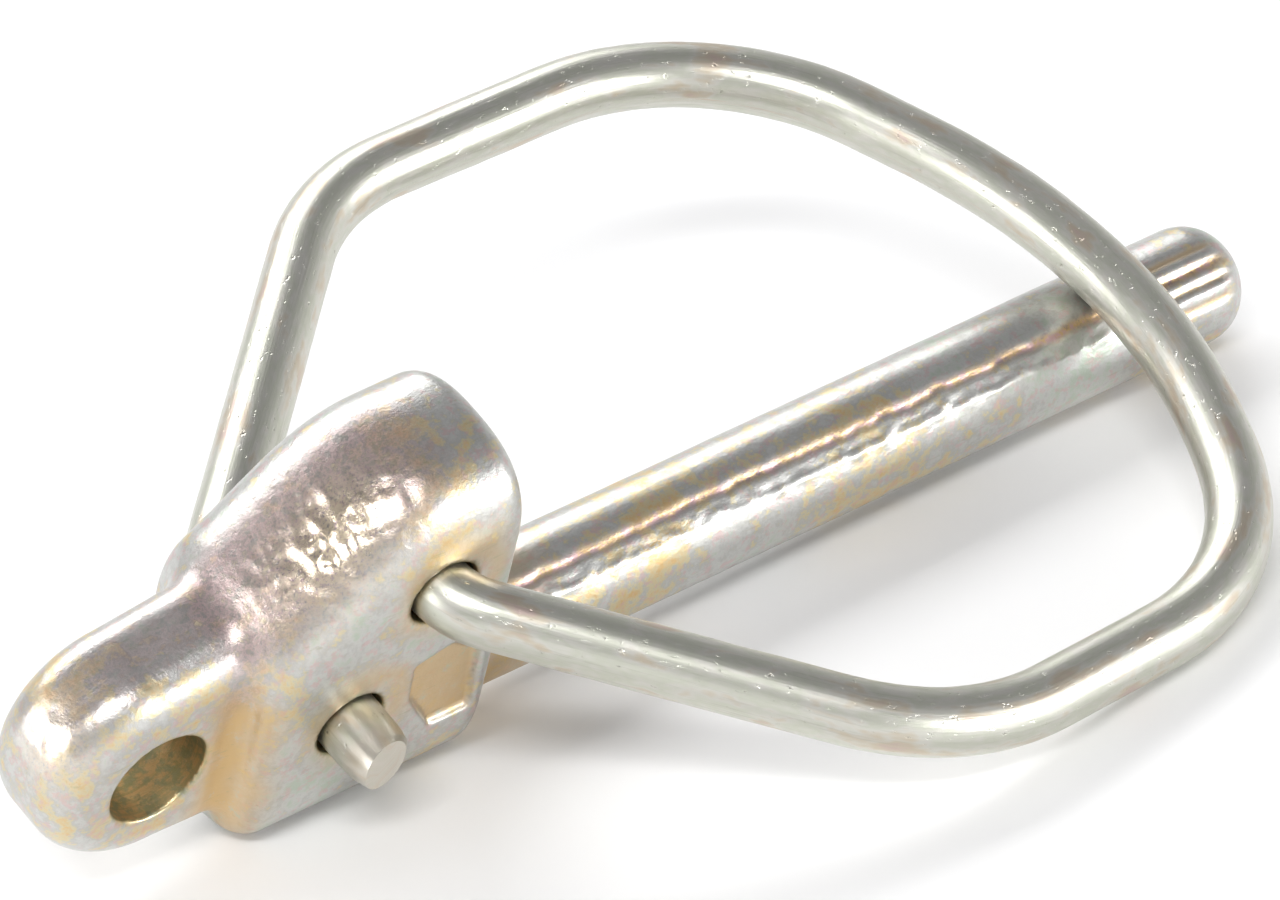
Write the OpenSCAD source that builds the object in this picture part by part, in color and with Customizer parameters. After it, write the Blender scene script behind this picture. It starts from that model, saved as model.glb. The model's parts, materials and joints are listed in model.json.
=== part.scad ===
// Forged lynch pin with a sprung wire ring.
// Each piece is drawn in the pin's own axes: the stem runs along +X from the head's end face,
// the crown of the head is up +Z, and -Y is the near side. lay() then puts it down as it rests.

/* [Stem] */
// Diameter of the round stem
stem_d = 11; // [8:0.5:13]
// Length of the stem from the head's end face to its tip
stem_l = 90; // [84:1:120]

/* [Head] */
// Width of the head between its two flat faces
head_w = 18.4; // [16:0.2:24]
// Length of the head's thick part along the stem
head_l = 25; // [23:0.5:30]
// Height of the upper rounding's centre above the stem axis
crown_z = 22.2; // [20:0.2:26]
// Height of the lower rounding's centre above the stem axis
keel_z = 2.4; // [0:0.2:3]
// Length of the level top behind the end face
crown_l = 11; // [6:0.5:14]
// Height of the upper rounding's centre where the head meets the lug
neck_z = 12.4; // [10:0.2:16]
// Rounding of the end face's rim
rim_r = 1.8; // [0.5:0.1:3]

/* [Lug] */
// Thickness of the lug
lug_w = 11.4; // [8:0.2:14]
// Radius of the lug's round end about its hole
lug_r = 10.4; // [9:0.1:13]
// Diameter of the hole across the lug
lug_hole_d = 9.8; // [6:0.1:12]
// Distance from the head's end face back to the lug's hole
lug_x = 33.3; // [31:0.1:40]
// Height of the lug's hole above the stem axis
lug_z = 7.2; // [4:0.1:10]
// Rounding of the lug's edges
lug_edge_r = 4.2; // [1:0.1:5]

/* [Wire holes] */
// Clearance in diameter between the wire and its holes
wire_play = 0.8; // [0.4:0.1:1.2]
// Distance from the end face back to the upper hole
upper_x = 8.6; // [7:0.1:12]
// Height of the upper hole above the stem axis
upper_z = 20.8; // [18:0.1:23]
// Distance from the end face back to the lower hole
lower_x = 16.1; // [14:0.1:18]
// Height of the lower hole above the stem axis
lower_z = 8; // [6:0.1:10]

/* [Recess] */
// Depth of the shallow recess in the near face
recess_depth = 0.7; // [0.3:0.1:1.5]
// Distance from the end face back to the recess's front edge
recess_x = 2.4; // [1.5:0.1:3]
// Height of the recess's bottom edge above the stem axis
recess_z = 2.4; // [1.5:0.1:3]
// Length of the recess along the stem
recess_l = 7.4; // [5:0.1:7.6]
// Height of the recess from its bottom edge to its peak
recess_h = 10.2; // [8:0.1:10.6]

/* [Ring] */
// Diameter of the ring's wire
wire_d = 6; // [4:0.1:7]
// Radius of the wire's first bends, outside the head
bend_r = 8; // [5:0.5:12]
// Distance of the near side's first corner from the end face
near_corner_x = 23; // [15:0.5:30]
// Distance of the near side's first corner from the stem axis
near_corner_y = 41.5; // [36:0.5:48]
// Distance of the near side's front corner from the end face
near_front_x = 62.5; // [55:0.5:70]
// Distance of the near side's front corner from the stem axis
near_front_y = 37.5; // [32:0.5:44]
// Distance of the far side's first corner from the end face
far_corner_x = 17.5; // [10:0.5:25]
// Distance of the far side's first corner from the stem axis
far_corner_y = 42; // [36:0.5:48]
// Distance of the far side's front corner from the end face
far_front_x = 60.5; // [53:0.5:68]
// Distance of the far side's front corner from the stem axis
far_front_y = 42.5; // [36:0.5:48]
// Distance of the ring's front, before rounding, from the end face
front_x = 77.5; // [74:0.5:81]
// How far the near front corner lies above the crossing, and the far one below it
front_twist = 3.3; // [0:0.1:5]
// Rounding of the two side corners
corner_r = 23; // [15:0.5:28]
// Rounding of the two front corners
front_corner_r = 25.5; // [18:0.5:30]
// Rounding of the front bow, where the sides leave room for it
bow_r = 56; // [40:1:70]
// Gap between the closed ring and the stem that it closes on
seat_gap = 0.85; // [0.2:0.05:1.5]
// How far the wire's end stands out of the lower hole
end_out = 5; // [2:0.5:8]
// How far the wire's end stands out of the upper hole
upper_end_out = 1; // [0.5:0.5:3]
// Gap at the opened pivot, between the ring and its end in the upper hole
pivot_gap = 0.3; // [0.2:0.05:0.6]

/* [How it lies] */
// Roll about the stem that brings the ring's near side down onto the ground
lie_roll = 24.3; // [0:0.1:30]
// Tilt that brings the stem's tip down onto the ground
lie_pitch = 1; // [0:0.1:5]

/* [Hidden] */
$fn = 64;

face_y = head_w / 2;
wire_r = wire_d / 2;
hole_d = wire_d + wire_play;
cut_over = 2;
blend_fn = 32;

// The end face is flat for this far round the stem, so the rim below it is rounded less.
face_margin = 0.3;
least_rim_r = 0.2;
keel_rim_r = max(least_rim_r, min(rim_r, face_y - keel_z - stem_d / 2 - face_margin));

// The rounding of a rim, as shares of its length and of its radius.
rim_steps = [0.3, 0.7, 1];

// The recess's kite, as shares of its length back and of its height.
recess_outline = [[0, 0], [0.6, 0], [1, 0.5], [1, 0.92], [0.5, 1], [0.05, 0.75]];

// How far the wire's straights run into its bends, and how much thicker the bends are in radius.
wire_lap = 0.1;
bend_proud = 0.02;

crossing_z = stem_d / 2 + wire_r + seat_gap;
near_front_z = crossing_z + front_twist;
far_front_z = crossing_z - front_twist;
near_slope = (near_front_z - upper_z) / (near_front_x + upper_x);
far_slope = (far_front_z - lower_z) / (far_front_x + lower_x);
near_corner_z = upper_z + near_slope * (near_corner_x + upper_x);
far_corner_z = lower_z + far_slope * (far_corner_x + lower_x);

// The wire's first bends start just outside the head's faces, and turn through no more than this.
widest_turn = 52;
upper_cut_y = face_y + pivot_gap / 2;
ring_start_y = upper_cut_y + pivot_gap;
bend_reach = bend_r * tan(widest_turn / 2);

// The ring's corners, from its end in the lower hole round to the upper hole.
ring_points = [
  [-lower_x, -face_y - end_out, lower_z],
  [-lower_x, face_y + pivot_gap + bend_reach, lower_z],
  [far_corner_x, far_corner_y, far_corner_z],
  [far_front_x, far_front_y, far_front_z],
  [front_x, 0, crossing_z],
  [near_front_x, -near_front_y, near_front_z],
  [near_corner_x, -near_corner_y, near_corner_z],
  [-upper_x, -ring_start_y - bend_reach, upper_z],
  [-upper_x, -ring_start_y, upper_z]
];
wanted_radii = [
  0, bend_r, corner_r, front_corner_r, bow_r,
  front_corner_r, corner_r, bend_r, 0
];
// The bow keeps a short straight between itself and the corners beside it.
bow = 4;
bow_straight = 0.5;
bow_limit = bend_room(ring_points, wanted_radii, bow) / tan(turn(ring_points, bow) / 2);
ring_radii = [
  for (i = [0 : len(wanted_radii) - 1])
    i == bow ? min(wanted_radii[i], bow_limit) : wanted_radii[i]
];

function unit(v) = v / norm(v);
// Direction from corner i to the next one.
function heading(p, i) = unit(p[i + 1] - p[i]);
// Angle that the wire turns through at corner i.
function turn(p, i) = acos(heading(p, i - 1) * heading(p, i));
// Length of straight that the bend at corner i takes from each side.
function bend_take(p, r, i) = r[i] == 0 ? 0 : r[i] * tan(turn(p, i) / 2);
// Length that the bends on either side leave free for the bend at corner i.
function bend_room(p, r, i) = min(
  norm(p[i + 1] - p[i]) - bend_take(p, r, i + 1),
  norm(p[i] - p[i - 1]) - bend_take(p, r, i - 1)
) - bow_straight;

// A straight round bar between two points.
module rod(a, b, r) {
  d = b - a;
  translate(a)
  rotate([0, acos(d[2] / norm(d)), atan2(d[1], d[0])])
  cylinder(r = r, h = norm(d));
}

// Puts children, drawn about X and Y, at a point and in the plane of two directions.
module in_plane(at, x, y) {
  z = cross(x, y);
  multmatrix([
    [x[0], y[0], z[0], at[0]],
    [x[1], y[1], z[1], at[1]],
    [x[2], y[2], z[2], at[2]],
    [0, 0, 0, 1]
  ])
  children();
}

// The rounded bend at corner i, a hair thicker than the straights so that they meet cleanly.
module bend(p, r, i, wire) {
  into = heading(p, i - 1);
  out = heading(p, i);
  start = p[i] - into * bend_take(p, r, i);
  side = unit(out - into * (into * out));
  in_plane(start + side * r[i], -side, into)
  rotate_extrude(angle = turn(p, i), $fn = 120)
  translate([r[i], 0])
  circle(r = wire + bend_proud, $fn = 32);
}

// A round wire bent at each inner corner of the list.
module bent_wire(p, r, wire) {
  last = len(p) - 1;
  for (i = [0 : last - 1]) {
    from = i == 0 ? 0 : bend_take(p, r, i) - wire_lap;
    to = i + 1 == last ? 0 : bend_take(p, r, i + 1) - wire_lap;
    rod(p[i] + heading(p, i) * from, p[i + 1] - heading(p, i) * to, wire);
  }
  for (i = [1 : last - 1])
    bend(p, r, i, wire);
}

// A hole across the head, along Y.
module cross_hole(x, z, d) {
  translate([x, head_w / 2 + cut_over, z])
  rotate([90, 0, 0])
  cylinder(d = d, h = head_w + 2 * cut_over);
}

// A short drum along X whose front edge is rounded off.
module drum(x, z, back, front_r) {
  translate([x - back, 0, z])
  rotate([0, 90, 0])
  cylinder(d = head_w, h = back - front_r, $fn = blend_fn);
  for (step = rim_steps)
    translate([x - front_r, 0, z])
    rotate([0, 90, 0])
    cylinder(
      r = face_y - front_r * (1 - sqrt(1 - step * step)),
      h = front_r * step,
      $fn = blend_fn
    );
}

// The thick part of the head: a level crown that slopes down to the lug.
module head_block() {
  hull() {
    drum(0, crown_z, crown_l, rim_r);
    drum(0, keel_z, head_l - rim_r, keel_rim_r);
    translate([-head_l, 0, neck_z])
    rotate([0, 90, 0])
    cylinder(d = head_w - 2 * rim_r, h = rim_r, $fn = blend_fn);
    translate([-head_l + rim_r, 0, neck_z])
    rotate([0, 90, 0])
    cylinder(d = head_w, h = rim_r, $fn = blend_fn);
    translate([-head_l, 0, keel_z])
    rotate([0, 90, 0])
    cylinder(d = head_w - 2 * rim_r, h = rim_r, $fn = blend_fn);
  }
}

// A disc with a rounded rim about the lug's hole.
module lug_disc() {
  translate([-lug_x, 0, lug_z])
  rotate([90, 0, 0])
  rotate_extrude($fn = 48)
  translate([lug_r - lug_edge_r, 0])
  scale([1, lug_w / 2 / lug_edge_r])
  circle(r = lug_edge_r, $fn = 24);
}

// The flat lug, run forward into the head.
module lug_block() {
  hull() {
    lug_disc();
    translate([-head_l + rim_r, 0, neck_z + 1])
    sphere(d = lug_w, $fn = blend_fn);
    translate([-head_l + rim_r, 0, keel_z])
    sphere(d = lug_w, $fn = blend_fn);
  }
}

// The shallow recess in the near face.
module recess() {
  translate([0, -face_y + recess_depth, 0])
  rotate([90, 0, 0])
  linear_extrude(height = recess_depth + cut_over)
  polygon([
    for (share = recess_outline)
      [-recess_x - recess_l * share[0], recess_z + recess_h * share[1]]
  ]);
}

// The stem with its rounded tip.
module stem() {
  stem_r = stem_d / 2;
  rotate([0, 90, 0])
  translate([0, 0, -rim_r - cut_over])
  cylinder(d = stem_d, h = stem_l - stem_r + rim_r + cut_over);
  translate([stem_l - stem_r, 0, 0])
  sphere(d = stem_d);
}

// Lays the finished part down as it comes to rest, turning it about the origin.
module lay() {
  rotate([0, lie_pitch, 0])
  rotate([lie_roll, 0, 0])
  children();
}

module forged_pin() {
  color("Silver")
  lay()
  difference() {
    union() {
      head_block();
      lug_block();
      stem();
    }
    cross_hole(-upper_x, upper_z, hole_d);
    cross_hole(-lower_x, lower_z, hole_d);
    cross_hole(-lug_x, lug_z, lug_hole_d);
    recess();
  }
}

module spring_ring() {
  color("Gainsboro")
  lay()
  bent_wire(ring_points, ring_radii, wire_r);
}

// The ring's other end, which turns in the upper hole.
module ring_upper_end() {
  color("Gainsboro")
  lay()
  rod(
    [-upper_x, -upper_cut_y, upper_z],
    [-upper_x, face_y + upper_end_out, upper_z],
    wire_r
  );
}

forged_pin();
spring_ring();
ring_upper_end();
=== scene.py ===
"""Looks of a forged lynch pin with a sprung wire ring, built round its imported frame.

Shapes are worked out in the pin's own axes, in millimetres: the stem runs along +X from the head's
end face, the crown of the head is up +Z, and -Y is the near side. lay_down() then takes them to the
frame, in metres.
"""

import json
import math

import bpy
import numpy as np
from mathutils import Matrix, Vector


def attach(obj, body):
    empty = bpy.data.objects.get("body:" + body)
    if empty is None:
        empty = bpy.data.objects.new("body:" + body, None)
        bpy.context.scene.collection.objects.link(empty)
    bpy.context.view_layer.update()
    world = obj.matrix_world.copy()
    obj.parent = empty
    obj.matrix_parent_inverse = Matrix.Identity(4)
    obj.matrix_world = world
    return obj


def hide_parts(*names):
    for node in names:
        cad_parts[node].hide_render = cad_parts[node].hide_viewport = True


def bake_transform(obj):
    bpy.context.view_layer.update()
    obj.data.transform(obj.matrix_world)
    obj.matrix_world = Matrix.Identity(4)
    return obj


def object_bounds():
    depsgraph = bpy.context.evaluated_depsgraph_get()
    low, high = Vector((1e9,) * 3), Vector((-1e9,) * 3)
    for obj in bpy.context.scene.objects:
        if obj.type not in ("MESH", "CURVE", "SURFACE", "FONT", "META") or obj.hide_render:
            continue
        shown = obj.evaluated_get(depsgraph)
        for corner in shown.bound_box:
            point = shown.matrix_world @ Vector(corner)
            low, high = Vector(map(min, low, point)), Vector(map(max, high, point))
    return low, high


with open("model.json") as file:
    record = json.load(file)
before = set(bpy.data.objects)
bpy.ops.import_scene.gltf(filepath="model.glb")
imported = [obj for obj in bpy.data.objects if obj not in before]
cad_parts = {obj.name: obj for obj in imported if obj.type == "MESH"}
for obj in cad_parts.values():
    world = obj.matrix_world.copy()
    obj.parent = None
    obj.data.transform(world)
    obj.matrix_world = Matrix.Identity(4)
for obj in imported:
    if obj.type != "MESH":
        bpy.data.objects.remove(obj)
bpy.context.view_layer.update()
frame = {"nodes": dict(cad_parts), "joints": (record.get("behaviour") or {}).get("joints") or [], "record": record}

# ---------------------------------------------------------------- the pin's axes in the frame

MM = 0.001
mounts = {mount["name"]: mount for mount in frame["record"]["mounts"]}
joints = {joint["name"]: joint for joint in frame["joints"]}
pin_x = Vector(mounts["stem"]["axis"]).normalized()
pin_y = -Vector(mounts["lug_hole"]["axis"]).normalized()
AXES = np.array([pin_x, pin_y, pin_x.cross(pin_y)])


def lay_down(points_mm):
    """Points in the pin's axes, in millimetres, to points in the frame, in metres."""
    return np.asarray(points_mm, float) @ AXES * MM


def stand_up(points_m):
    """Points in the frame, in metres, to points in the pin's axes, in millimetres."""
    return np.asarray(points_m, float) @ AXES.T / MM


def hole_centre(place_m):
    """Where a hole through the head or lug is, as (x, z) to a hundredth of a millimetre."""
    x, _, z = stand_up(place_m)
    return (round(x, 2), round(z, 2))


# ---------------------------------------------------------------- sizes, in millimetres

STEM_R = mounts["stem"]["dims"]["r_mm"]
STEM_L = 90.0
STEM_ROOT = 3.0
TIP_ROUND = 4.6

HEAD_HALF = 9.2
HEAD_L = 25.0
KEEL_Z = 2.4
CROWN_Z = 22.2
CROWN_BACK = (1.8 - HEAD_L, 12.3)
CROWN_SLOPE = 0.86
CROWN_BREAK = 4.0
SHOULDER_POWER = 2.6
RIM_ROUND = 2.6
STEP_ROUND = 2.2

LUG_HALF = 5.7
LUG_HOLE = hole_centre(mounts["lug_hole"]["pos_m"])
LUG_R = 10.4
LUG_ROOT = (-22.0, 8.1)
LUG_ROOT_R = 11.6
LUG_ROUND = 4.0
LUG_HOLE_R = mounts["lug_hole"]["dims"]["r_mm"]

UPPER_HOLE = hole_centre(joints["upper_end_turn"]["pos_m"])
LOWER_HOLE = hole_centre(joints["ring_swing"]["pos_m"])
WIRE_HOLE_R = 3.4
WIRE_R = 3.0

WIRE_HOLES = ((UPPER_HOLE, WIRE_HOLE_R), (LOWER_HOLE, WIRE_HOLE_R))
BORES = (*WIRE_HOLES, (LUG_HOLE, LUG_HOLE_R))

RECESS = [(-2.4, 2.4), (-6.8, 2.4), (-9.7, 7.4), (-9.9, 11.8), (-6.2, 12.8), (-2.8, 10.2)]
RECESS_DEPTH = 0.7

LUG_FILLET = 2.2
STEM_FILLET = 1.8
RECESS_EDGE = 0.5
BORE_EDGE = 0.35

VOXEL = 0.4
SETTLE_STEP = 0.8
EVENING_ROUNDS = 3


# ---------------------------------------------------------------- noise and masks on points


def lattice(cells, seed):
    """A steady random number from 0 to 1 for each whole-number cell."""
    mixed = cells[..., 0] * 374761393 + cells[..., 1] * 668265263 + cells[..., 2] * 2147483647
    mixed = (mixed + seed * 1274126177) & 0xFFFFFFFF
    mixed = ((mixed ^ (mixed >> 13)) * 1274126177) & 0xFFFFFFFF
    return ((mixed ^ (mixed >> 16)) & 0xFFFFFF) / float(0xFFFFFF)


def noise(points, size, seed=0):
    """Smooth noise from -1 to 1 whose lumps are about size across; size may differ along each axis."""
    scaled = np.asarray(points) / np.asarray(size, float)
    cell = np.floor(scaled).astype(np.int64)
    part = scaled - cell
    part = part * part * (3 - 2 * part)
    total = np.zeros(len(points))
    for corner in range(8):
        step = np.array([corner & 1, corner >> 1 & 1, corner >> 2 & 1])
        weight = np.prod(np.where(step == 1, part, 1 - part), axis=1)
        total += weight * lattice(cell + step, seed)
    return total * 2 - 1


def creases(points, coarse, fine, seed):
    """Winding ridges of two sizes: 1 along their lines, falling below 0 between them."""
    return 1 - np.abs(noise(points, coarse, seed)) - np.abs(noise(points, fine, seed + 1))


def crumple(points, seed):
    """Ridges about 1.5 mm apart: 1 along their lines, down to -1 between them."""
    return 1 - np.abs(noise(points, 1.5, seed)) * 2


def smooth_step(value, low, high):
    part = np.clip((value - low) / (high - low), 0, 1)
    return part * part * (3 - 2 * part)


def between(value, rise, fall):
    """1 between two edges, each given as where it starts and where it ends."""
    return smooth_step(value, *rise) * (1 - smooth_step(value, *fall))


def mound(off, width):
    """1 where off is 0, falling smoothly away over about the width."""
    return np.exp(-((off / width) ** 2))


def spot(points, place, size):
    """1 at a place, falling smoothly away over about the size along each axis."""
    return np.exp(-(((points - place) / size) ** 2).sum(axis=1))


def off_bore(points, bore):
    """How far each point lies outside a bore's wall, seen along the bore."""
    (x, z), radius = bore
    return np.hypot(points[:, 0] - x, points[:, 2] - z) - radius


# ---------------------------------------------------------------- the forging as a field of distance


def join(a, b, blend):
    """The smaller of two distances, rounded where they are near each other."""
    share = np.clip(0.5 + 0.5 * (b - a) / blend, 0, 1)
    return b * (1 - share) + a * share - blend * share * (1 - share)


def cut(a, b, blend):
    """Distance a with the solid of distance b taken away."""
    return -join(-a, b, blend)


def rounded_corner(a, b, radius):
    """Inside both a and b, with the corner between them rounded."""
    a, b = a + radius, b + radius
    outside = np.hypot(np.maximum(a, 0), np.maximum(b, 0))
    return np.minimum(np.maximum(a, b), 0) + outside - radius


def crown_centre(x):
    """Height of the crown's rounding: level behind the end face, then down to the lug."""
    level = np.full_like(x, CROWN_Z)
    slope = CROWN_BACK[1] + CROWN_SLOPE * (x - CROWN_BACK[0])
    return join(level, slope, CROWN_BREAK)


def head_distance(x, y, z):
    above = np.maximum(z - crown_centre(x), 0)
    below = np.maximum(KEEL_Z - z, 0)
    power = SHOULDER_POWER
    across = (np.abs(y) ** power + (above + below) ** power) ** (1 / power) - HEAD_HALF
    solid = rounded_corner(across, x, RIM_ROUND)
    return rounded_corner(solid, -HEAD_L - x, STEP_ROUND)


def lug_distance(x, y, z):
    run = np.array(LUG_ROOT) - np.array(LUG_HOLE)
    length = np.hypot(*run)
    part = ((x - LUG_HOLE[0]) * run[0] + (z - LUG_HOLE[1]) * run[1]) / length**2
    part = np.clip(part, 0, 1)
    middle_x = LUG_HOLE[0] + part * run[0]
    middle_z = LUG_HOLE[1] + part * run[1]
    outline = np.hypot(x - middle_x, z - middle_z) - (LUG_R + part * (LUG_ROOT_R - LUG_R))
    return rounded_corner(outline, np.abs(y) - LUG_HALF, LUG_ROUND)


def stem_distance(x, y, z):
    solid = rounded_corner(np.hypot(y, z) - STEM_R, x - STEM_L, TIP_ROUND)
    return np.maximum(solid, -STEM_ROOT - x)


def outline_distance(x, z, corners):
    """Distance in x and z to a convex outline, below 0 inside it."""
    corners = np.array(corners)
    centre = corners.mean(0)
    worst = np.full_like(x, -np.inf)
    for start, end in zip(corners, np.roll(corners, -1, 0)):
        side = end - start
        normal = np.array([side[1], -side[0]]) / np.hypot(*side)
        if (centre - start) @ normal > 0:
            normal = -normal
        worst = np.maximum(worst, (x - start[0]) * normal[0] + (z - start[1]) * normal[1])
    return worst


def forging_distance(points):
    """Distance from each point to the surface of the head, lug and stem with their holes."""
    x, y, z = points.T
    solid = join(head_distance(x, y, z), lug_distance(x, y, z), LUG_FILLET)
    solid = join(solid, stem_distance(x, y, z), STEM_FILLET)
    recess = np.maximum(outline_distance(x, z, RECESS), y + HEAD_HALF - RECESS_DEPTH)
    solid = cut(solid, recess, RECESS_EDGE)
    for bore in BORES:
        solid = cut(solid, off_bore(points, bore), BORE_EDGE)
    return solid


def distance_slope(points, step=0.05):
    """Which way the distance grows at each point, as unit vectors."""
    slope = np.empty_like(points)
    for axis in range(3):
        shift = np.zeros(3)
        shift[axis] = step
        slope[:, axis] = forging_distance(points + shift) - forging_distance(points - shift)
    slope /= 2 * step
    return slope / np.maximum(np.linalg.norm(slope, axis=1), 1e-6)[:, None]


def settle(points, rounds):
    """Moves points onto the forging's surface."""
    for _ in range(rounds):
        step = np.clip(forging_distance(points), -SETTLE_STEP, SETTLE_STEP)
        points = points - step[:, None] * distance_slope(points)
    return points


# ---------------------------------------------------------------- marks that the forging left

# Angles and widths round the stem are in degrees. Depths, heights and places are in millimetres.
UNEVEN_DEPTH = 0.05
FINE_UNEVEN_DEPTH = 0.012
SEAM_ANGLE = 20.0
SEAM_WIDTH = 4.6
SEAM_DEPTH = 0.30
LEDGE_DEPTH = 0.16
RIB_ANGLE = 41.0
RIB_WIDTH = 4.5
RIB_HEIGHT = 0.10
RIB_CRUMPLE = 0.16
GROOVE_ANGLES = (2, 19, 37, 56)
GROOVE_WIDTH = 3.4
GROOVE_DEPTH = 0.20
CROWN_FOLD = 0.05
CROWN_SINK = 0.02
CROWN_PATCH = {"place": (-17, -3.2, 0), "size": (5.4, 4.0, math.inf)}
CROWN_PATCH_HEIGHT = 0.24
LUG_FOLD = 0.06
LUG_PATCH = {"place": (-41, -1.5, 11), "size": (2.2, 2.6, 4.0)}
LUG_PATCH_HEIGHT = 0.20
STEP_POOL_X = -26.5
HOLE_POOL_SHIFT = 0.8


def stem_angle(points):
    """Angle round the stem, in degrees, from +Z toward the near side."""
    return np.degrees(np.arctan2(-points[:, 1], points[:, 2]))


def pooled_passivate(points):
    """Where the passivate pooled and dried gold: beside the step, round the holes, at the stem's root."""
    x, y, z = points.T
    ragged = 0.8 * noise(points, 3.0, 31)
    beside_step = mound(x - STEP_POOL_X + ragged, 2.4) * smooth_step(-y, 3.5, 5.0)
    beside_step *= 1 - smooth_step(z, 13, 16)
    root = between(x, (0.0, 1.0), (4 + 3 * ragged, 12 + 3 * ragged))
    round_holes = np.zeros(len(points))
    for (hole_x, hole_z), radius in WIRE_HOLES:
        middle = (hole_x + HOLE_POOL_SHIFT, hole_z + HOLE_POOL_SHIFT)
        off = off_bore(points, (middle, radius + HOLE_POOL_SHIFT))
        round_holes = np.maximum(round_holes, mound(off - ragged, 1.6))
    round_holes *= smooth_step(-y, 7, 9)
    in_recess = 1 - smooth_step(outline_distance(x, z, RECESS), -0.4, 0.3)
    in_recess *= smooth_step(-y, 7, 8)
    return beside_step + 0.7 * root + 0.6 * round_holes + 0.8 * in_recess


def stem_marks(points):
    """The ragged seam, the ledge beside it and the crumpled rib, on both sides of the stem."""
    x = points[:, 0]
    on_stem = between(x, (0.5, 4), (STEM_L - 5, STEM_L - 1))
    lift, seam, rib = np.zeros((3, len(points)))
    ragged = 2.2 * noise(points, (1.5, 30, 30), 3) + 1.6 * noise(points, (0.8, 30, 30), 4)
    broken = 0.55 + 0.45 * noise(points, (2.2, 9, 9), 5)
    crumpled = noise(points, (0.9, 1.2, 1.2), 6)
    for turn in (0, 180):
        around = (stem_angle(points) - turn + 180) % 360 - 180
        seam_here = on_stem * mound(around - SEAM_ANGLE - ragged, SEAM_WIDTH)
        ledge = on_stem * smooth_step(around, SEAM_ANGLE - 1 + ragged, SEAM_ANGLE + 3 + ragged)
        ledge *= 1 - smooth_step(around, RIB_ANGLE - 2, RIB_ANGLE + 3)
        rib_here = on_stem * mound(around - RIB_ANGLE - 1.5 * ragged, RIB_WIDTH)
        lift -= LEDGE_DEPTH * ledge + SEAM_DEPTH * seam_here * broken
        lift += rib_here * (RIB_HEIGHT + RIB_CRUMPLE * crumpled)
        seam = np.maximum(seam, seam_here)
        rib = np.maximum(rib, rib_here)
    return lift, seam, rib


def tip_grooves(points):
    """The short grooves along the stem's tip, 1 in the middle of each."""
    near_tip = between(points[:, 0], (STEM_L - 16, STEM_L - 12), (STEM_L - 4.5, STEM_L - 2))
    angle = stem_angle(points)
    grooves = [near_tip * mound(angle - middle, GROOVE_WIDTH) for middle in GROOVE_ANGLES]
    return np.max(grooves, axis=0)


def crown_marks(points):
    """The folds over the crown, and the crumpled patch among them."""
    x, y, z = points.T
    above = z - crown_centre(x)
    crown = smooth_step(above, 1.0, 5.0) * (1 - smooth_step(np.abs(y + 1), 3.5, 7.5))
    crown *= between(x, (-29, -25), (-11, -4))
    patch = spot(points, **CROWN_PATCH) * smooth_step(above, 2, 5)
    folds = creases(points, (1.5, 4.2, 4.2), (0.9, 2.4, 2.4), 7)
    lift = crown * (CROWN_FOLD * folds - CROWN_SINK)
    lift += patch * CROWN_PATCH_HEIGHT * crumple(points, 9)
    return lift, crown, patch


def lug_marks(points):
    """The folds along the lug's upper edge, and the crumpled patch at its end."""
    x, y, z = points.T
    folded = smooth_step(-x, 24, 28) * smooth_step(z, 8, 15) * mound(y, 3.2)
    patch = spot(points, **LUG_PATCH)
    folds = creases(points, (3.0, 1.1, 1.6), (1.4, 1.1, 1.4), 10)
    lift = folded * LUG_FOLD * folds + patch * LUG_PATCH_HEIGHT * crumple(points, 12)
    return lift, folded, patch


def forging_marks(points):
    """How far each surface point stands out, in millimetres, and the masks that colour it."""
    uneven = UNEVEN_DEPTH * noise(points, 7, 1) + FINE_UNEVEN_DEPTH * noise(points, 2.2, 2)
    stem_lift, seam, rib = stem_marks(points)
    grooves = tip_grooves(points)
    crown_lift, crown, crown_patch = crown_marks(points)
    lug_lift, lug_folds, lug_patch = lug_marks(points)
    lift = uneven + stem_lift - GROOVE_DEPTH * grooves + crown_lift + lug_lift
    pooled = np.clip(pooled_passivate(points), 0, 1) + 0.8 * grooves
    bored = np.zeros(len(points))
    for bore in BORES:
        bored = np.maximum(bored, 1 - smooth_step(off_bore(points, bore), 0.02, 0.3))
    masks = {
        "seam": seam,
        # The rib mask also places painted glints in the material.
        "rib": rib,
        # The crown mask carries the folds' passivate and a painted dark reflection in the material.
        "crown": np.clip(crown + 0.6 * lug_folds, 0, 1),
        # The patch mask also places a painted highlight in the material.
        "patch": np.clip(crown_patch + lug_patch, 0, 1),
        "pooled": np.clip(pooled, 0, 1),
        "bored": bored,
    }
    return lift * (1 - bored), masks


# ---------------------------------------------------------------- meshes


def new_object(name, mesh):
    made = bpy.data.objects.new(name, mesh)
    bpy.context.scene.collection.objects.link(made)
    return made


def get_points(mesh):
    points = np.zeros(len(mesh.vertices) * 3)
    mesh.vertices.foreach_get("co", points)
    return points.reshape(-1, 3)


def set_points(mesh, points):
    mesh.vertices.foreach_set("co", np.asarray(points, np.float32).ravel())
    mesh.update()


def get_edges(mesh):
    edges = np.zeros(len(mesh.edges) * 2, np.int64)
    mesh.edges.foreach_get("vertices", edges)
    return edges.reshape(-1, 2)


def store(mesh, name, values):
    """Keeps a number or a vector for each vertex, for the materials to read."""
    values = np.asarray(values, np.float32)
    kind = "FLOAT" if values.ndim == 1 else "FLOAT_VECTOR"
    field = "value" if values.ndim == 1 else "vector"
    mesh.attributes.new(name, kind, "POINT").data.foreach_set(field, values.ravel())


def apply_modifiers(piece):
    graph = bpy.context.evaluated_depsgraph_get()
    mesh = bpy.data.meshes.new_from_object(piece.evaluated_get(graph))
    old = piece.data
    piece.modifiers.clear()
    piece.data = mesh
    bpy.data.meshes.remove(old)


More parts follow.
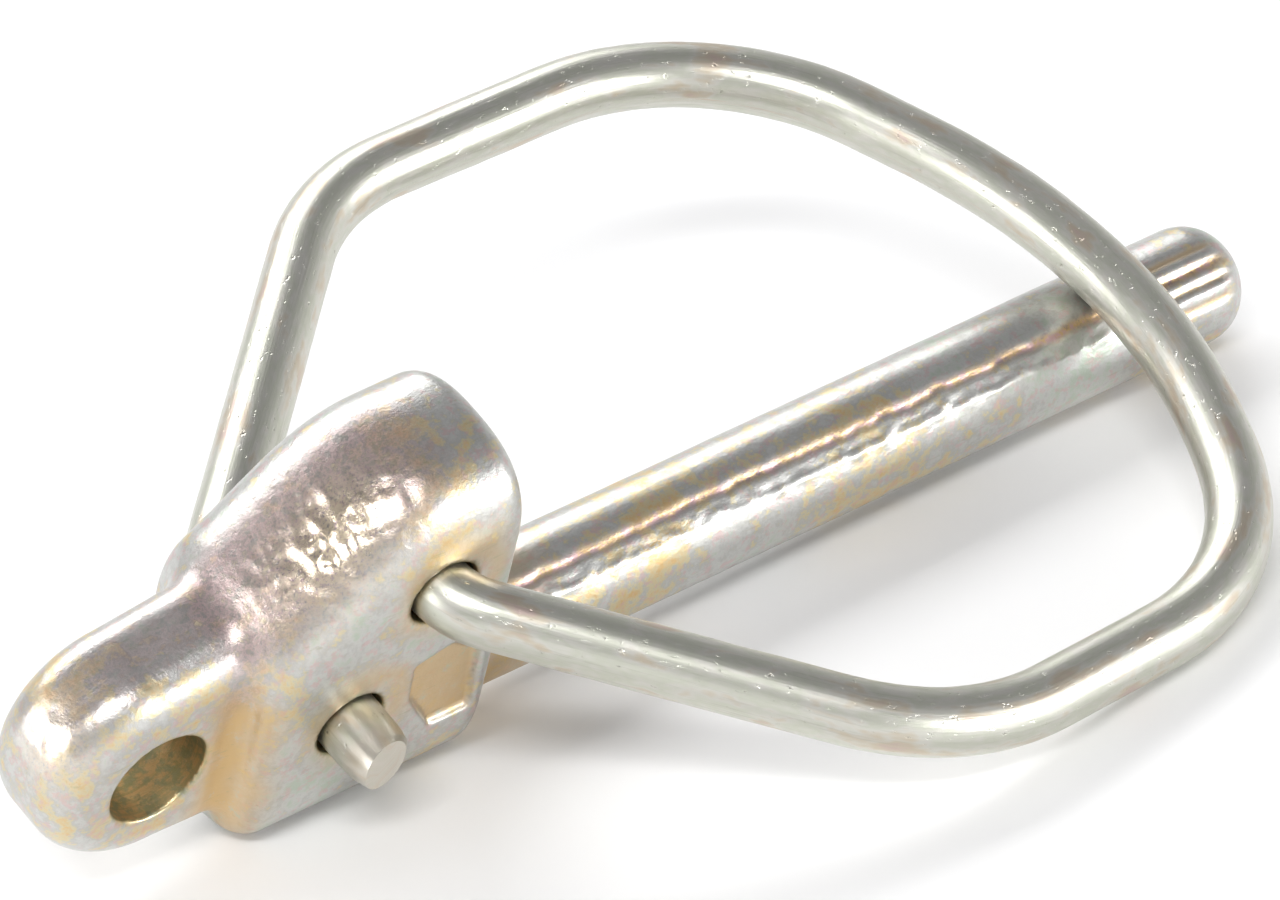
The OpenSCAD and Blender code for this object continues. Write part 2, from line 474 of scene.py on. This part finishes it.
def relax(points, edges, amount=0.5):
    """Evens out the spacing of the vertices."""
    total = np.zeros_like(points)
    count = np.zeros(len(points))
    for a, b in ((0, 1), (1, 0)):
        np.add.at(total, edges[:, a], points[edges[:, b]])
        np.add.at(count, edges[:, a], 1)
    return points + amount * (total / np.maximum(count, 1)[:, None] - points)


def make_forged_pin():
    """The forging: one mesh settled onto the distance field, with its seam, folds and grooves."""
    piece = new_object("forging", frame["nodes"]["forged_pin"].data.copy())
    piece.data.materials.clear()
    remesh = piece.modifiers.new("voxels", "REMESH")
    remesh.mode = "VOXEL"
    remesh.voxel_size = VOXEL * MM
    apply_modifiers(piece)
    mesh = piece.data
    edges = get_edges(mesh)
    points = settle(stand_up(get_points(mesh)), rounds=4)
    for _ in range(EVENING_ROUNDS):
        points = settle(relax(points, edges), rounds=2)
    lift, masks = forging_marks(points)
    set_points(mesh, lay_down(points + lift[:, None] * distance_slope(points)))
    store(mesh, "pin_mm", points)
    for name, mask in masks.items():
        store(mesh, name, mask)
    mesh.shade_smooth()
    return piece


# ---------------------------------------------------------------- the wire ring

# Corners are (x, y) in the pin's axes. The ring's sides are TWIST above and below its front.
SEAT_GAP = 0.3
END_OUT = 5.0
UPPER_END_OUT = 1.0
MOUTH_OUT = 1.6
CROSSING_Z = STEM_R + WIRE_R + SEAT_GAP
TWIST = 3.3
NEAR_CORNER = (23.0, -41.5)
NEAR_FRONT = (62.5, -37.5)
FAR_CORNER = (17.5, 42.0)
FAR_FRONT = (60.5, 42.5)
FRONT_X = 77.5
MOUTH_BEND = 6.5
NEAR_BEND = 23
FAR_BEND = 20
FRONT_BEND = 25.5
BOW_BEND = 56

SIDES = 36
ROW_SPACING = 0.8
BEND_STEPS = 24
# Each end's last rows shrink by these shares, and its face is cut askew by SHEAR_TILT.
SHEARED_SHARES = (0.80, 0.93, 0.985)
SHEAR_TILT = 0.45
DENT_DEPTH = 0.035
FINE_DENT_DEPTH = 0.02
DENT_SINK = 0.02


def on_leg(hole, front, front_z, x):
    """Height at x of the straight from a hole to the ring's front corner on that side."""
    return hole[1] + (front_z - hole[1]) * (x - hole[0]) / (front[0] - hole[0])


def ring_corners():
    """The ring's corners and bend radii, from its end in the lower hole to its end in the upper one."""
    near_z = CROSSING_Z + TWIST
    far_z = CROSSING_Z - TWIST
    near_side = on_leg(UPPER_HOLE, NEAR_FRONT, near_z, NEAR_CORNER[0])
    far_side = on_leg(LOWER_HOLE, FAR_FRONT, far_z, FAR_CORNER[0])
    mouth = HEAD_HALF + MOUTH_OUT
    return [
        ((LOWER_HOLE[0], -HEAD_HALF - END_OUT, LOWER_HOLE[1]), 0),
        ((LOWER_HOLE[0], mouth, LOWER_HOLE[1]), MOUTH_BEND),
        ((*FAR_CORNER, far_side), FAR_BEND),
        ((*FAR_FRONT, far_z), FRONT_BEND),
        ((FRONT_X, 0, CROSSING_Z), BOW_BEND),
        ((*NEAR_FRONT, near_z), FRONT_BEND),
        ((*NEAR_CORNER, near_side), NEAR_BEND),
        ((UPPER_HOLE[0], -mouth, UPPER_HOLE[1]), MOUTH_BEND),
        ((UPPER_HOLE[0], HEAD_HALF + UPPER_END_OUT, UPPER_HOLE[1]), 0),
    ]


def bend_points(before, corner, after, radius):
    """Points round the bend at a corner between two straights."""
    into = (corner - before) / np.linalg.norm(corner - before)
    out = (after - corner) / np.linalg.norm(after - corner)
    turn = math.acos(float(into @ out))
    start = corner - into * radius * math.tan(turn / 2)
    side = out - into * (into @ out)
    side /= np.linalg.norm(side)
    angles = [turn * k / BEND_STEPS for k in range(BEND_STEPS + 1)]
    return [start + radius * (math.sin(a) * into + (1 - math.cos(a)) * side) for a in angles]


def bent_line(corners):
    """Evenly spaced points along straights and round bends, and how far along each one is."""
    places = [np.array(place, float) for place, _ in corners]
    line = [places[0]]
    for i in range(1, len(corners) - 1):
        line += bend_points(places[i - 1], places[i], places[i + 1], corners[i][1])
    line = np.array([*line, places[-1]])
    along = np.concatenate([[0], np.cumsum(np.linalg.norm(np.diff(line, axis=0), axis=1))])
    even = np.linspace(0, along[-1], int(along[-1] / ROW_SPACING) + 1)
    return np.stack([np.interp(even, along, line[:, k]) for k in range(3)], axis=1), even


def sweep_frames(line):
    """Directions along the line, and a side and an up that turn with it as little as they can."""
    ahead = np.gradient(line, axis=0)
    ahead /= np.linalg.norm(ahead, axis=1)[:, None]
    side = np.zeros_like(ahead)
    side[0] = np.cross(ahead[0], (0, 0, 1))
    for i in range(len(line)):
        seed = side[i - 1] if i else side[0]
        seed = seed - ahead[i] * (seed @ ahead[i])
        side[i] = seed / np.linalg.norm(seed)
    return ahead, side, np.cross(side, ahead)


def shear_end(rings, line, ahead, angle, order):
    """Shrinks the last rows at the start (order 1) or the end (order -1) and tilts the cut."""
    rows = range(len(line))[::order]
    for row, share in zip(rows, SHEARED_SHARES):
        rings[row] = line[row] + (rings[row] - line[row]) * share
    rings[rows[0]] += np.cos(angle - 0.6)[:, None] * SHEAR_TILT * ahead[rows[0]]


def tube_faces(count):
    """Quads between the rows of a tube, and a flat face on each end."""
    faces = []
    for i in range(count - 1):
        for j in range(SIDES):
            k = (j + 1) % SIDES
            faces.append((i * SIDES + j, (i + 1) * SIDES + j, (i + 1) * SIDES + k, i * SIDES + k))
    faces.append(tuple(range(SIDES)))
    faces.append(tuple((count - 1) * SIDES + j for j in reversed(range(SIDES))))
    return faces


def keep_normals(mesh, outward):
    """The two wires meet end to end, so each keeps the normals that it has as one wire."""
    normals = lay_down(outward) / MM
    corner_normals = []
    for face in mesh.polygons:
        is_cap = len(face.vertices) == SIDES
        for vertex in face.vertices:
            corner_normals.append(tuple(face.normal) if is_cap else tuple(normals[vertex]))
    mesh.normals_split_custom_set(corner_normals)


def make_wire(name, rows, sheared_start, sheared_end):
    """Some rows of the ring's wire, round with fine dents, and sheared at the ends that show."""
    line, along = ring_line[rows], ring_along[rows]
    ahead, side, up = (directions[rows] for directions in ring_directions)
    angle = np.linspace(0, 2 * math.pi, SIDES, endpoint=False)
    outward = np.cos(angle)[:, None] * side[:, None] + np.sin(angle)[:, None] * up[:, None]
    middle = line[:, None]
    rings = middle + WIRE_R * outward
    flat = rings.reshape(-1, 3)
    dents = DENT_DEPTH * noise(flat, 5, 21) + FINE_DENT_DEPTH * noise(flat, 1.6, 22) - DENT_SINK
    rings = rings + dents.reshape(len(line), SIDES, 1) * outward
    cut_end = np.zeros((len(line), SIDES))
    shrunk = len(SHEARED_SHARES)
    if sheared_start:
        shear_end(rings, line, ahead, angle, 1)
        cut_end[:shrunk] = 1
    if sheared_end:
        shear_end(rings, line, ahead, angle, -1)
        cut_end[-shrunk:] = 1
    mesh = bpy.data.meshes.new(name)
    places = [tuple(place) for place in lay_down(rings.reshape(-1, 3))]
    mesh.from_pydata(places, [], tube_faces(len(line)))
    mesh.update()
    length, turn = np.meshgrid(along, angle * WIRE_R, indexing="ij")
    wire_mm = np.stack([length, turn, np.full_like(turn, WIRE_R)], axis=2)
    store(mesh, "wire_mm", wire_mm.reshape(-1, 3))
    store(mesh, "cut_end", cut_end.ravel())
    mesh.shade_smooth()
    keep_normals(mesh, ((rings - middle) / WIRE_R).reshape(-1, 3))
    return new_object(name, mesh)


# ---------------------------------------------------------------- material writing


class Value:
    """A shader socket that takes part in sums, adding a Math node for each."""

    def __init__(self, finish, socket):
        self.finish = finish
        self.socket = socket

    def math(self, operation, other, swapped=False, clamp=False):
        parts = [other, self] if swapped else [self, other]
        settings = {"operation": operation, "use_clamp": clamp}
        return self.finish.node("ShaderNodeMath", settings, dict(enumerate(parts)))

    def __add__(self, other):
        return self.math("ADD", other)

    __radd__ = __add__

    def __sub__(self, other):
        return self.math("SUBTRACT", other)

    def __rsub__(self, other):
        return self.math("SUBTRACT", other, swapped=True)

    def __mul__(self, other):
        return self.math("MULTIPLY", other)

    __rmul__ = __mul__

    def clamped(self):
        return self.math("ADD", 0.0, clamp=True)

    def step(self, low, high):
        """0 below low, 1 above high, smooth between."""
        settings = {"interpolation_type": "SMOOTHSTEP"}
        inputs = {"Value": self, "From Min": low, "From Max": high}
        return self.finish.node("ShaderNodeMapRange", settings, inputs)


class Finish:
    """One material's nodes."""

    def __init__(self, name):
        self.material = bpy.data.materials.new(name)
        self.material.use_nodes = True
        self.tree = self.material.node_tree
        self.shader = self.tree.nodes["Principled BSDF"]

    def node(self, kind, settings=None, inputs=None, output=0):
        made = self.tree.nodes.new(kind)
        for key, setting in (settings or {}).items():
            if key == "stops":
                set_stops(made.color_ramp, setting)
            else:
                setattr(made, key, setting)
        for key, value in (inputs or {}).items():
            self.feed(made.inputs[key], value)
        return Value(self, made.outputs[output])

    def feed(self, socket, value):
        if isinstance(value, Value):
            self.tree.links.new(value.socket, socket)
        elif isinstance(value, tuple) and len(value) == 3 and socket.type == "RGBA":
            socket.default_value = (*value, 1)
        else:
            socket.default_value = value

    def read(self, name, output="Fac"):
        """A number or a vector that the mesh keeps for each vertex."""
        return self.node("ShaderNodeAttribute", {"attribute_name": name}, output=output)

    def stretch(self, vector, scale):
        return self.node("ShaderNodeVectorMath", {"operation": "MULTIPLY"}, {0: vector, 1: scale})

    def speckle(self, vector, scale, detail=3.0, roughness=0.5, distortion=0.0):
        inputs = {
            "Vector": vector,
            "Scale": scale,
            "Detail": detail,
            "Roughness": roughness,
            "Distortion": distortion,
        }
        return self.node("ShaderNodeTexNoise", None, inputs)

    def ramp(self, value, stops):
        return self.node("ShaderNodeValToRGB", {"stops": stops}, {"Fac": value})

    def mix(self, share, first, second):
        """The first colour, or the second where the share is 1."""
        return self.node("ShaderNodeMix", {"data_type": "RGBA"}, {0: share, 6: first, 7: second}, output=2)

    def bump(self, height, strength, distance, under=None):
        inputs = {"Height": height, "Strength": strength, "Distance": distance}
        if under is not None:
            inputs["Normal"] = under
        return self.node("ShaderNodeBump", None, inputs)

    def wear(self, **sockets):
        for name, value in sockets.items():
            self.feed(self.shader.inputs[name.replace("_", " ")], value)
        return self.material


def set_stops(ramp, stops):
    """Gives a colour ramp its stops, each a place and a colour."""
    while len(ramp.elements) < len(stops):
        ramp.elements.new(0.5)
    for element, (place, colour) in zip(ramp.elements, stops):
        element.position = place
        element.color = (*colour, 1)


# ---------------------------------------------------------------- materials

ZINC = (0.49, 0.49, 0.47)
ZINC_LIGHT = (0.58, 0.58, 0.56)
OLIVE = (0.36, 0.36, 0.22)
STRAW = (0.62, 0.56, 0.38)
GOLD = (0.66, 0.47, 0.24)
# Pale gold, painted as a highlight on the crumpled patches.
PAINTED_HIGHLIGHT_GOLD = (0.78, 0.66, 0.49)
ROSE = (0.62, 0.42, 0.42)
PLUM = (0.30, 0.22, 0.25)
UMBER = (0.34, 0.29, 0.28)
SEA_GREEN = (0.49, 0.55, 0.47)

WIRE_GREY = (0.61, 0.60, 0.55)
WIRE_GREEN = (0.55, 0.56, 0.48)
WIRE_LIGHT = (0.60, 0.59, 0.54)
WIRE_STRAW = (0.56, 0.50, 0.40)
WIRE_ROSE = (0.55, 0.44, 0.40)
WIRE_LINE = (0.34, 0.34, 0.28)
WIRE_PIT = (0.25, 0.23, 0.19)
WIRE_CUT = (0.62, 0.57, 0.50)

FLOOR_DARK = (0.86, 0.86, 0.86)
FLOOR_LIGHT = (0.90, 0.90, 0.90)

PLATE_METALLIC = 0.95
# Bump distances are in metres.
FINE_DEPTH = 0.00008
FORGING_PIT_DEPTH = 0.00018
WIRE_PIT_DEPTH = -0.00015


def passivated_forging():
    """Zinc plate with a rainbow passivate: grey with straw, rose and green where it pooled, with painted
    highlights on the crumpled patches and the rib and a painted dark reflection along the crown.
    """
    finish = Finish("passivated_forging")
    place = finish.read("pin_mm", "Vector")
    seam, rib = finish.read("seam"), finish.read("rib")
    crown, patch, bored = finish.read("crown"), finish.read("patch"), finish.read("bored")
    pooled = finish.read("pooled")
    broad = finish.speckle(place, 0.07, 2.0, 0.5)
    cloud = finish.speckle(place, 0.55, 5.0, 0.68)
    rosy = finish.speckle(place, 0.95, 4.0, 0.7)
    grain = finish.speckle(place, 3.4, 3.0, 0.6)
    plate = [(0.38, SEA_GREEN), (0.46, ZINC_LIGHT), (0.53, ZINC), (0.57, STRAW), (0.66, GOLD)]
    colour = finish.ramp(broad * 0.4 + cloud * 0.6, plate)
    colour = finish.mix(rosy.step(0.52, 0.64) * 0.55, colour, ROSE)
    colour = finish.mix((pooled * cloud.step(0.24, 0.44)).clamped(), colour, GOLD)
    seam_tint = finish.ramp(cloud, [(0.42, ROSE), (0.52, GOLD), (0.64, PLUM)])
    colour = finish.mix((seam * 1.1).clamped(), colour, seam_tint)
    # Painted glints: light zinc specks along the crumpled rib stand in for its sparkle, on top of its real
    # crumples.
    colour = finish.mix((rib * grain.step(0.40, 0.60)).clamped(), colour, ZINC_LIGHT)
    # Partly real, partly painted: rose and straw passivate in the crown's folds, and umber as a painted dark
    # reflection along the head's top and the lug's upper edge.
    crown_tint_and_painted_reflection = finish.ramp(rosy, [(0.40, UMBER), (0.50, ROSE), (0.58, UMBER), (0.68, STRAW)])
    colour = finish.mix((crown * 0.7).clamped(), colour, crown_tint_and_painted_reflection)
    # Painted highlight: the crumpled patches on the crown and at the lug's end are speckled pale gold. This stands
    # in for the bright reflection on their real crumples.
    colour = finish.mix((patch * grain.step(0.36, 0.50)).clamped(), colour, PAINTED_HIGHLIGHT_GOLD)
    bore_tint = finish.ramp(rosy, [(0.42, OLIVE), (0.55, GOLD)])
    colour = finish.mix((bored * 0.85).clamped(), colour, bore_tint)
    drilled = finish.speckle(finish.stretch(place, (0.15, 2.6, 0.15)), 1.0, 2.0)
    colour = finish.mix(bored * drilled.step(0.46, 0.60) * 0.5, colour, OLIVE)
    streak = finish.speckle(finish.stretch(place, (0.25, 2.4, 2.4)), 1.0, 3.0, 0.6)
    colour = finish.mix(streak.step(0.60, 0.74) * 0.35, colour, OLIVE)
    rough = 0.25 + cloud * 0.14 + grain * 0.08 - patch * 0.12
    fine = finish.bump(grain, 0.22, FINE_DEPTH)
    pits = finish.speckle(place, 0.8, 4.0, 0.6, 0.4)
    pitted = finish.bump(pits, 0.30, FORGING_PIT_DEPTH, fine)
    return finish.wear(
        Base_Color=colour, Metallic=PLATE_METALLIC, Roughness=rough.clamped(), Normal=pitted
    )


def plated_wire():
    """Drawn spring wire with the same plate: satin grey-green with fine lines along it."""
    finish = Finish("plated_wire")
    place = finish.read("wire_mm", "Vector")
    cut_end = finish.read("cut_end")
    lines = finish.speckle(finish.stretch(place, (0.09, 3.6, 1.0)), 1.0, 4.0, 0.65)
    cloud = finish.speckle(finish.stretch(place, (0.14, 0.35, 1.0)), 1.0, 3.0, 0.6)
    pits = finish.speckle(finish.stretch(place, (1.1, 1.6, 1.0)), 1.0, 3.0, 0.6)
    plate = [
        (0.36, WIRE_GREY),
        (0.46, WIRE_GREEN),
        (0.54, WIRE_LIGHT),
        (0.62, WIRE_STRAW),
        (0.70, WIRE_ROSE),
    ]
    colour = finish.ramp(cloud, plate)
    colour = finish.mix(lines.step(0.52, 0.70) * 0.35, colour, WIRE_LINE)
    colour = finish.mix(pits.step(0.66, 0.74) * 0.6, colour, WIRE_PIT)
    colour = finish.mix((cut_end * 0.6).clamped(), colour, WIRE_CUT)
    rough = 0.24 + lines * 0.12 + cloud * 0.08
    drawn = finish.bump(lines, 0.26, FINE_DEPTH)
    dented = finish.bump(pits.step(0.60, 0.78), 0.35, WIRE_PIT_DEPTH, drawn)
    return finish.wear(
        Base_Color=colour, Metallic=PLATE_METALLIC, Roughness=rough.clamped(), Normal=dented
    )


def pale_floor():
    finish = Finish("pale_floor")
    place = finish.node("ShaderNodeTexCoord", output="Object")
    colour = finish.ramp(finish.speckle(place, 3.0), [(0.3, FLOOR_DARK), (0.7, FLOOR_LIGHT)])
    return finish.wear(Base_Color=colour, Roughness=0.8)


# ---------------------------------------------------------------- camera, floor and light

# The camera's place and directions are in the pin's axes.
CAMERA_PLACE = (-406.23, -390.25, 648.13)
CAMERA_RIGHT = (0.788, -0.5931, 0.1651)
CAMERA_FORWARD = (0.497, 0.4546, -0.7391)
CAMERA_LENS = 281.5
SENSOR_WIDTH = 36

# Lights are in the frame, in metres and watts.
LIGHT_AIM = (0.02, 0, 0.01)
SOFTBOXES = {
    "shoulder_strip": {"place": (0.55, -0.85, 0.14), "size": (0.9, 0.20), "power": 8},
    "over_the_camera": {"place": (-0.40, -0.52, 0.80), "size": (0.6, 0.12), "power": 5},
    "back_sheet": {"place": (0.10, 0.85, 0.75), "size": (1.3, 0.45), "power": 10},
    "left_wall": {"place": (-1.0, 0.25, 0.35), "size": (0.7, 0.5), "power": 5},
}
ROOM_LOW = (0.78, 0.78, 0.78)
ROOM_HIGH = (0.27, 0.27, 0.28)
FLOOR_HALF = 3.0


def make_camera():
    """A long lens from above the near side, looking down on the pin along its stem."""
    right = np.array(CAMERA_RIGHT)
    forward = np.array(CAMERA_FORWARD)
    forward /= np.linalg.norm(forward)
    right -= forward * (right @ forward)
    right /= np.linalg.norm(right)
    up = np.cross(right, forward)
    camera = bpy.data.cameras.new("camera")
    camera.lens = CAMERA_LENS
    camera.sensor_width = SENSOR_WIDTH
    camera.clip_start = 0.01
    camera.clip_end = 20
    holder = new_object("camera", camera)
    turned = [Vector(np.asarray(axis) @ AXES) for axis in (right, up, -forward)]
    matrix = Matrix(turned).transposed().to_4x4()
    matrix.translation = Vector(lay_down(CAMERA_PLACE))
    holder.matrix_world = matrix
    bpy.context.scene.camera = holder


def make_floor():
    """A pale floor at the lowest point of the finished pieces."""
    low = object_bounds()[0][2]
    half = FLOOR_HALF
    mesh = bpy.data.meshes.new("floor")
    corners = [(-half, -half, low), (half, -half, low), (half, half, low), (-half, half, low)]
    mesh.from_pydata(corners, [], [(0, 1, 2, 3)])
    floor = new_object("floor", mesh)
    floor.data.materials.append(pale_floor())


def make_softbox(name, place, size, power):
    light = bpy.data.lights.new(name, "AREA")
    light.shape = "RECTANGLE"
    light.size, light.size_y = size
    light.energy = power
    holder = new_object(name, light)
    holder.location = place
    aim = Vector(LIGHT_AIM) - Vector(place)
    holder.rotation_euler = aim.to_track_quat("-Z", "Y").to_euler()


def make_room():
    """Light from all round, pale low down and darker overhead."""
    world = bpy.data.worlds.new("studio")
    world.use_nodes = True
    tree = world.node_tree
    spot = tree.nodes.new("ShaderNodeTexCoord")
    split = tree.nodes.new("ShaderNodeSeparateXYZ")
    ramp = tree.nodes.new("ShaderNodeValToRGB")
    set_stops(ramp.color_ramp, [(0.0, ROOM_LOW), (0.75, ROOM_HIGH)])
    tree.links.new(spot.outputs["Generated"], split.inputs[0])
    tree.links.new(split.outputs["Z"], ramp.inputs["Fac"])
    tree.links.new(ramp.outputs["Color"], tree.nodes["Background"].inputs["Color"])
    bpy.context.scene.world = world
    bpy.context.scene.view_settings.view_transform = "Standard"


# ---------------------------------------------------------------- building


make_camera()
for box_name, box in SOFTBOXES.items():
    make_softbox(box_name, **box)
make_room()

forging = make_forged_pin()
forging.data.materials.append(passivated_forging())
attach(forging, "pin")
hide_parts("forged_pin")

wire_finish = plated_wire()
ring_line, ring_along = bent_line(ring_corners())
ring_directions = sweep_frames(ring_line)
to_corner = np.linalg.norm(ring_line[:, :2] - np.array(NEAR_CORNER), axis=1)
split_row = int(np.argmin(to_corner))

loop = make_wire("ring_loop", slice(0, split_row + 1), True, False)
loop.data.materials.append(wire_finish)
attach(loop, "ring")
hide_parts("spring_ring")

leg = make_wire("ring_near_leg", slice(split_row, None), False, True)
leg.data.materials.append(wire_finish)
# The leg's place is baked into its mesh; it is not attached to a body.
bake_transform(leg)
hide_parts("ring_upper_end")

make_floor()
